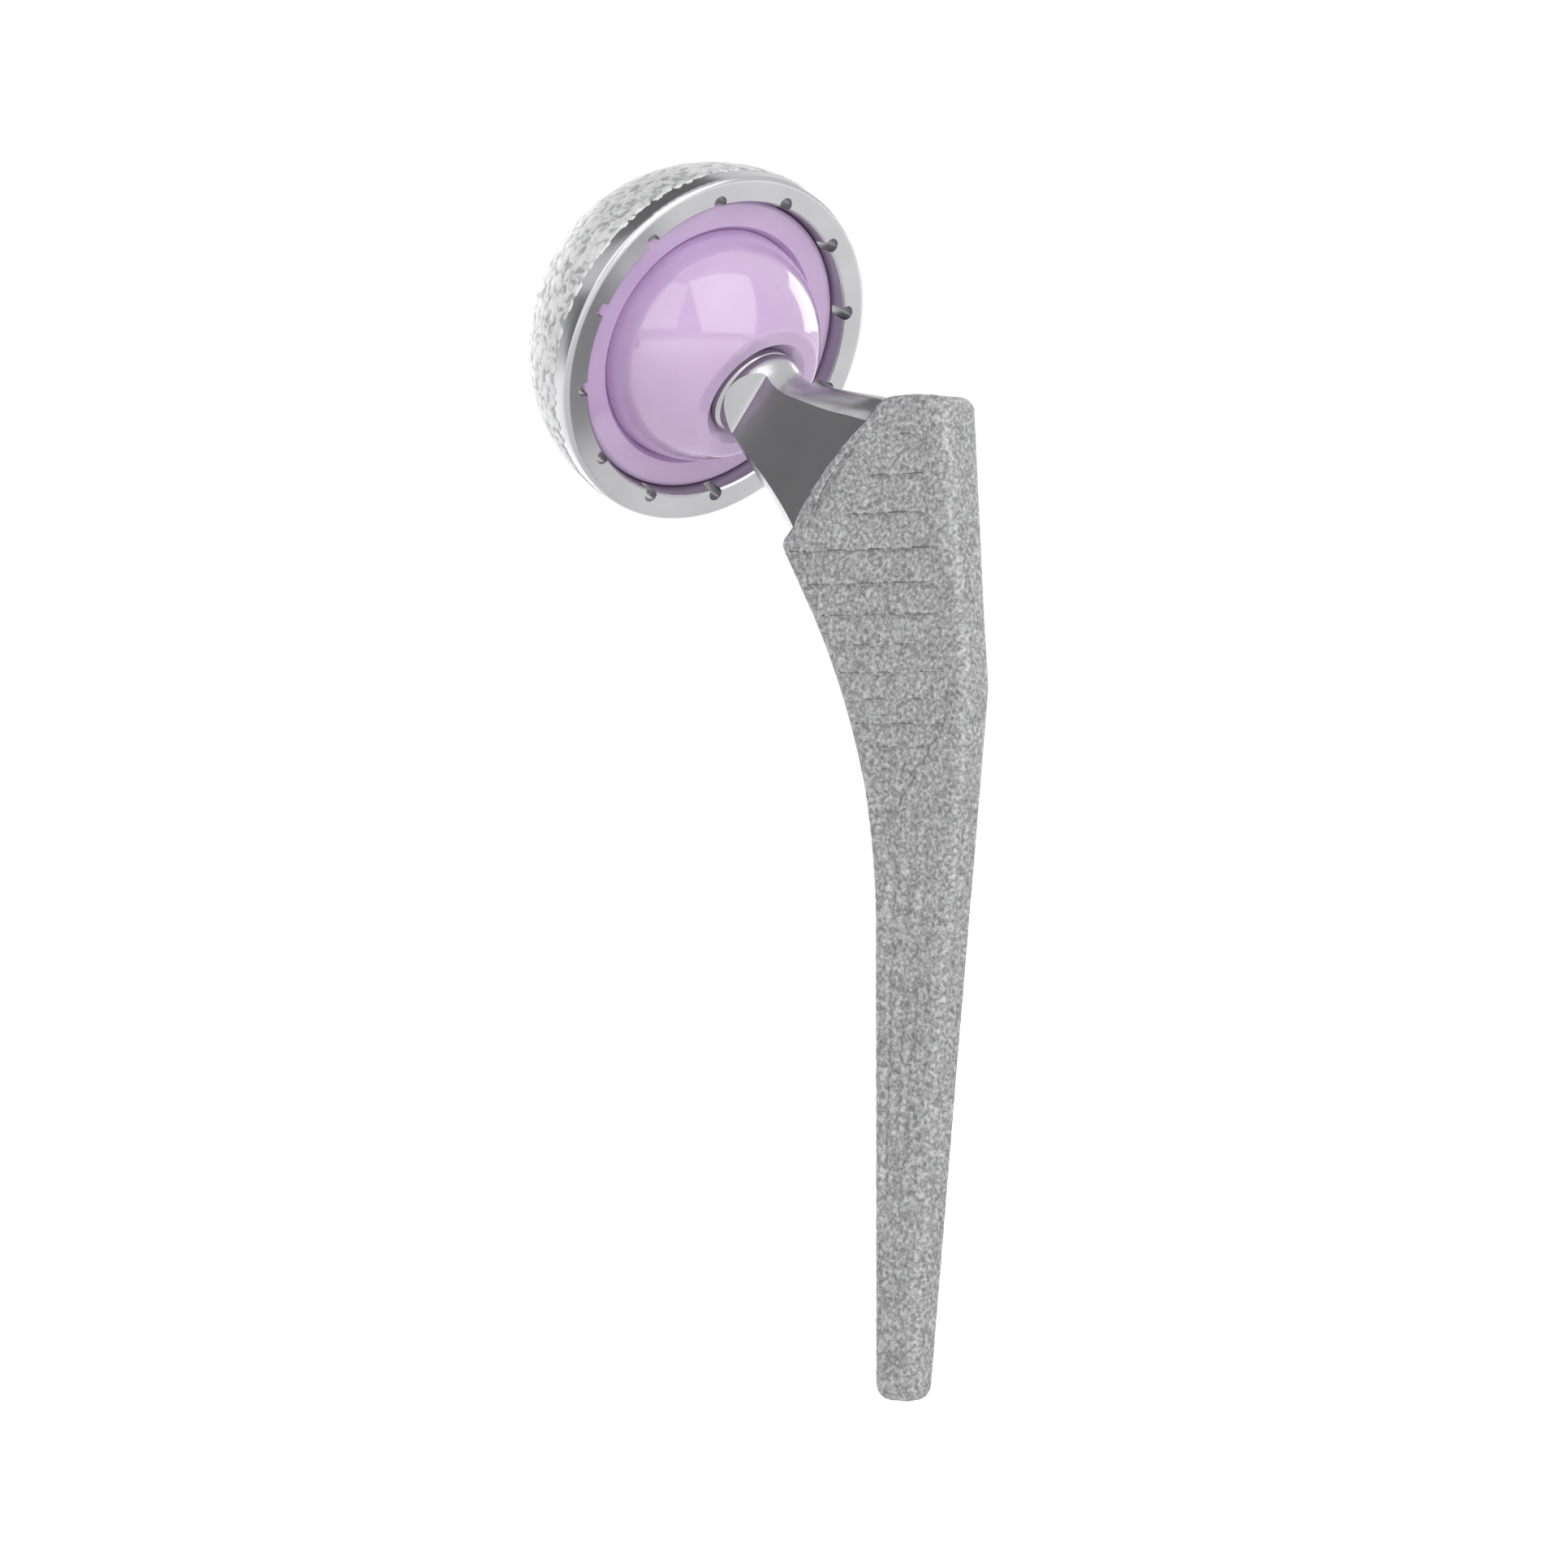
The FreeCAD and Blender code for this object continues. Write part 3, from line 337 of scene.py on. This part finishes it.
def blade_coating(finish):
    """Sprayed skin of the blade, from the solid's own shape up to the coat line."""
    mesh = bmesh.new()
    mesh.from_mesh(frame["nodes"]["femoral_stem"].data)
    bmesh.ops.remove_doubles(mesh, verts=mesh.verts, dist=MERGE_DISTANCE)
    along = (COAT_LINE_TOP - COAT_LINE_LOW).normalized()
    upward = Vector((-along.z, 0.0, along.x))
    everything = mesh.verts[:] + mesh.edges[:] + mesh.faces[:]
    cut = bmesh.ops.bisect_plane(mesh, geom=everything, dist=CUT_TOLERANCE,
                                 plane_co=COAT_LINE_TOP - upward * COAT_LINE_INSET,
                                 plane_no=upward, clear_outer=True)
    rim = [edge for edge in cut["geom_cut"] if isinstance(edge, bmesh.types.BMEdge)]
    bmesh.ops.triangle_fill(mesh, use_beauty=True, use_dissolve=False, edges=rim)
    bmesh.ops.recalc_face_normals(mesh, faces=mesh.faces[:])
    piece = mesh_object("blade", mesh)
    remesh = piece.modifiers.new("even grains", "REMESH")
    remesh.mode = "VOXEL"
    remesh.voxel_size = SKIN_VOXEL
    add_relief(piece, relief_tree("spray_relief", SPRAY_GRAIN_MM, SPRAY_NOISE),
               Lift=SPRAY_LIFT, Relief=SPRAY_RELIEF, Grain=SPRAY_GRAIN_MM * MM, Finish=finish)
    return frozen(piece, "blade_coating")


DOME_RADIUS = 27.0 * MM
DOME_SHIFT = 3.45 * MM  # how far the dome's own centre lies from the ball's, towards the rim
APEX_HOLE_RADIUS = 4.0 * MM
APEX_GAP = 0.1 * MM
SKIN_DEPTH = 0.9 * MM
DOME_TURNS = 520
OUTER_STEPS = 112
INNER_STEPS = 12


def cup_matrix():
    """Places a mesh made about +Z, open end up, on the cup's axis."""
    side = CUP_AXIS.cross(Vector((0.0, 1.0, 0.0))).normalized()
    other = CUP_AXIS.cross(side)
    turn = Matrix((side, other, CUP_AXIS)).transposed().to_4x4()
    return Matrix.Translation(BALL_CENTRE) @ turn


def dome_arc(radius, first, last, steps):
    """Points (distance from the axis, height) round the dome's centre, angles from its pole."""
    angles = [first + (last - first) * i / steps for i in range(steps + 1)]
    return [(radius * math.sin(a), DOME_SHIFT - radius * math.cos(a)) for a in angles]


def dome_coating(finish):
    """Porous skin of the shell's dome, from the apex hole to the polished band."""
    start = math.asin((APEX_HOLE_RADIUS + APEX_GAP) / DOME_RADIUS)
    end = math.radians(90) + math.asin((COAT_EDGE - DOME_SHIFT) / DOME_RADIUS)
    outer = dome_arc(DOME_RADIUS, start, end, OUTER_STEPS)
    inner = dome_arc(DOME_RADIUS - SKIN_DEPTH, start, end, INNER_STEPS)
    mesh = bmesh.new()
    rings = []
    for radius, height in outer + inner[::-1]:
        ring = []
        for j in range(DOME_TURNS):
            angle = math.tau * j / DOME_TURNS
            ring.append(mesh.verts.new((radius * math.cos(angle), radius * math.sin(angle),
                                        height)))
        rings.append(ring)
    for i, ring in enumerate(rings):
        following = rings[(i + 1) % len(rings)]
        for j in range(DOME_TURNS):
            k = (j + 1) % DOME_TURNS
            mesh.faces.new((ring[j], following[j], following[k], ring[k]))
    mesh.transform(cup_matrix())
    bmesh.ops.recalc_face_normals(mesh, faces=mesh.faces[:])
    piece = mesh_object("dome", mesh)
    add_relief(piece, relief_tree("porous_relief", POROUS_GRAIN_MM, POROUS_NOISE, fringe=True),
               Lift=POROUS_LIFT, Relief=POROUS_RELIEF, Grain=POROUS_GRAIN_MM * MM, Finish=finish)
    return frozen(piece, "dome_coating")


# Stage: camera, lights, flags, floor and backdrop

STAGE_MIDDLE = Vector((-0.02, 0.0, 0.0))
WHITE = linear("#FFFFFF")
LIGHT_ON_MATT = 0.45  # the world's strength where it lights the object; it is 1 where it is seen
FLOOR_SIDE = 6.0
FLOOR_GAP = 6.0 * MM
GLOW_NEAR, GLOW_FAR = 0.2, 0.9  # distances over which the floor's glow grows to full
GLOW_LEAST = 0.35

# name, azimuth and elevation in degrees, distance and sides in metres, watts
SOFTBOXES = (
    ("key_softbox", 68.0, 30.0, 1.4, (1.5, 1.5), 10.5),
    ("fill_softbox", -2.0, 28.0, 1.5, (1.2, 1.2), 4.5),
    ("left_softbox", -118.0, 14.0, 1.2, (0.9, 0.6), 6.0),
    ("back_softbox", 178.0, 20.0, 1.4, (0.9, 0.6), 4.5),
)
# name, azimuth and elevation in degrees, distance and sides in metres, grey
FLAGS = (
    ("front_flag", -42.0, 2.0, 0.9, (0.75, 0.8), "#808080"),
    ("top_flag", -95.0, 62.0, 0.9, (0.8, 0.8), "#808080"),
)


def make_camera():
    """The photograph's camera."""
    back = Vector((math.sin(CAMERA_AZIMUTH), -math.cos(CAMERA_AZIMUTH), 0.0))
    data = bpy.data.cameras.new("photo_camera")
    data.sensor_width = SENSOR_WIDTH_MM
    data.lens = FOCAL_LENGTH_PX / IMAGE_SIDE * SENSOR_WIDTH_MM
    data.clip_start, data.clip_end = CAMERA_NEAR, CAMERA_FAR
    camera = link_object("photo_camera", data)
    camera.location = AIM_POINT + back * CAMERA_DISTANCE
    camera.rotation_euler = (CAMERA_LEVEL, 0.0, CAMERA_AZIMUTH)
    bpy.context.scene.camera = camera


def aim(thing, azimuth, elevation, distance):
    """Places a lamp or flag round the object and turns it to face the object's middle."""
    around, up = math.radians(azimuth), math.radians(elevation)
    way = Vector((math.sin(around) * math.cos(up), -math.cos(around) * math.cos(up), math.sin(up)))
    thing.location = STAGE_MIDDLE + way * distance
    thing.rotation_euler = (-way).to_track_quat("-Z", "Y").to_euler()


def add_softbox(name, azimuth, elevation, distance, sides, watts):
    """An area lamp aimed at the middle of the object, as a studio's softbox."""
    data = bpy.data.lights.new(name, "AREA")
    data.shape = "RECTANGLE"
    data.size, data.size_y = sides
    data.energy = watts
    lamp = link_object(name, data)
    lamp.visible_camera = False
    aim(lamp, azimuth, elevation, distance)


def flat_sheet(name, segments, sides, height=0.0):
    """A level sheet with these two sides, at a height."""
    mesh = bmesh.new()
    bmesh.ops.create_grid(mesh, x_segments=segments, y_segments=segments, size=0.5)
    bmesh.ops.scale(mesh, verts=mesh.verts, vec=(sides[0], sides[1], 1.0))
    bmesh.ops.translate(mesh, verts=mesh.verts, vec=(0.0, 0.0, height))
    return mesh_object(name, mesh)


def add_flag(name, azimuth, elevation, distance, sides, grey):
    """A grey studio flag: polished metal mirrors it, and it takes no light from the object."""
    flag = flat_sheet(name, 4, sides)
    aim(flag, azimuth, elevation, distance)
    material, tree = new_material(name + "_cloth")
    cloth = add_node(tree, "ShaderNodeEmission", Color=linear(grey), Strength=1.0)
    add_node(tree, "ShaderNodeOutputMaterial", Surface=cloth.outputs[0])
    flag.data.materials.append(material)
    for way in ("camera", "diffuse", "transmission", "volume_scatter", "shadow"):
        setattr(flag, "visible_" + way, False)


def seen_or_mirrored(tree):
    """A socket that is 1 for what is seen, also in a reflection, and 0 for light on the object."""
    path = add_node(tree, "ShaderNodeLightPath")
    mirrored = add_node(tree, "ShaderNodeMath", {"operation": "MAXIMUM"},
                        n0=path.outputs["Is Camera Ray"], n1=path.outputs["Is Glossy Ray"])
    through = add_node(tree, "ShaderNodeMath", {"operation": "MAXIMUM"},
                       n0=mirrored.outputs[0], n1=path.outputs["Is Transmission Ray"])
    return through.outputs[0]


def make_world():
    """White behind the object and in its reflections, softer as light on matt surfaces."""
    world = bpy.data.worlds.new("studio")
    bpy.context.scene.world = world
    world.use_nodes = True
    tree = world.node_tree
    tree.nodes.clear()
    strength = add_node(tree, "ShaderNodeMapRange", Value=seen_or_mirrored(tree),
                        To_Min=LIGHT_ON_MATT, To_Max=1.0)
    light = add_node(tree, "ShaderNodeBackground", Color=WHITE, Strength=strength.outputs["Result"])
    add_node(tree, "ShaderNodeOutputWorld", Surface=light.outputs[0])


def make_floor():
    """A plain white sweep under the tip: it takes the object's shadow, and far off it is white."""
    floor = flat_sheet("floor", 8, (FLOOR_SIDE, FLOOR_SIDE), cad_low.z - FLOOR_GAP)
    material, tree = new_material("white_paper_sweep")
    paper = add_node(tree, "ShaderNodeBsdfDiffuse", Color=linear("#E8E8E8"))
    coords = add_node(tree, "ShaderNodeTexCoord")
    away = add_node(tree, "ShaderNodeVectorMath", {"operation": "LENGTH"},
                    n0=coords.outputs["Object"])
    fade = add_node(tree, "ShaderNodeMapRange", Value=away.outputs["Value"],
                    From_Min=GLOW_NEAR, From_Max=GLOW_FAR, To_Min=GLOW_LEAST, To_Max=1.0)
    faint = add_node(tree, "ShaderNodeMath", {"operation": "MULTIPLY"},
                     n0=seen_or_mirrored(tree), n1=fade.outputs["Result"])
    glow = add_node(tree, "ShaderNodeEmission", Color=WHITE, Strength=faint.outputs[0])
    both = add_node(tree, "ShaderNodeAddShader", n0=paper.outputs[0], n1=glow.outputs[0])
    add_node(tree, "ShaderNodeOutputMaterial", Surface=both.outputs[0])
    floor.data.materials.append(material)


# Build

spray = sprayed_titanium()
porous = porous_titanium()
satin = satin_titanium()
ceramic = lilac_ceramic()

for node, finish in (("femoral_stem", satin), ("acetabular_shell", satin),
                     ("apex_hole_plug", satin), ("femoral_head", ceramic),
                     ("acetabular_liner", ceramic)):
    for material_slot in frame["nodes"][node].material_slots:
        material_slot.material = finish

blade = blade_coating(spray)
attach(blade, "stem")
dome = dome_coating(porous)
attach(dome, "shell")

make_camera()
make_world()
make_floor()
for row in SOFTBOXES:
    add_softbox(*row)
for row in FLAGS:
    add_flag(*row)
bpy.context.scene.view_settings.view_transform = "Standard"
